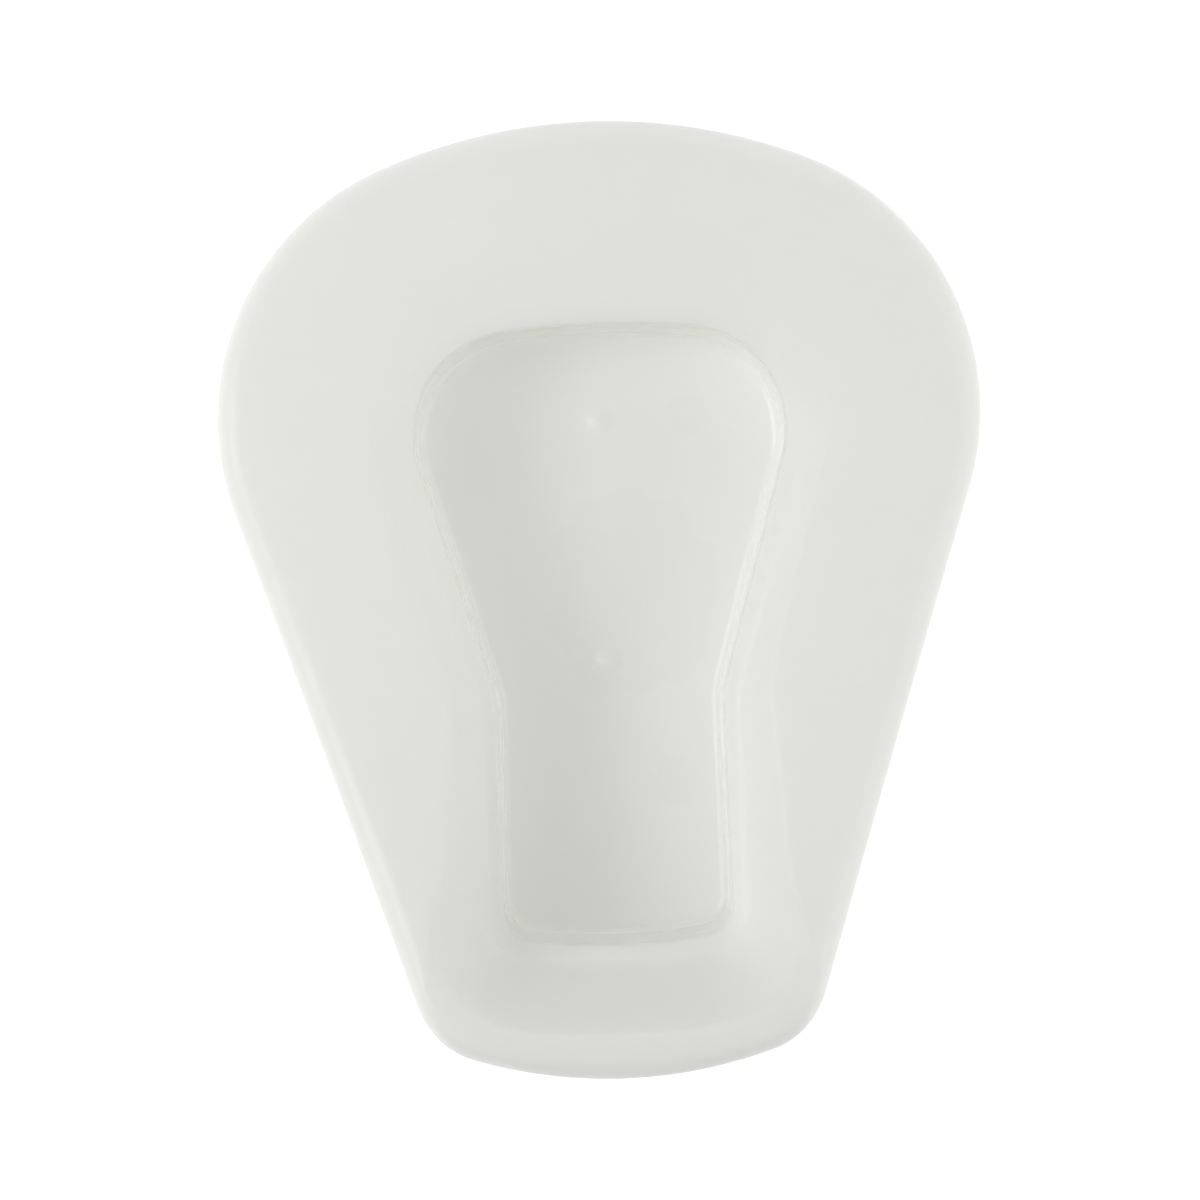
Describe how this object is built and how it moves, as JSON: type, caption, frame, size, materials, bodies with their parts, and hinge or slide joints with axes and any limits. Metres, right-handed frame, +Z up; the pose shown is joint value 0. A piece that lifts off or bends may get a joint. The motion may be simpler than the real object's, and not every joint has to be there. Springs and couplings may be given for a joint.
{
  "type": "bedpan",
  "caption": "Nestable adult bedpan moulded in off-white plastic: keyhole well, sloping shoulder, broad seat deck, raised front lip and open-bottomed skirt.",
  "frame": {"origin": "centre of the bounding box on the floor, on the pan's mirror plane", "axes": "+Z up; +Y towards the wide seat end; -Y towards the raised front; X across the pan, which is symmetric about X = 0"},
  "size_m": [0.291, 0.361, 0.0891],
  "materials": {
    "pan_plastic": "off-white polypropylene, satin on the deck and skirt, glossier in the well"
  },
  "bodies": {
    "root": {"well_floor": "pan_plastic", "well_wall": "pan_plastic", "bowl_shoulder": "pan_plastic", "seat_deck": "pan_plastic", "outer_skirt": "pan_plastic", "front_guard": "pan_plastic"}
  },
  "joints": []
}
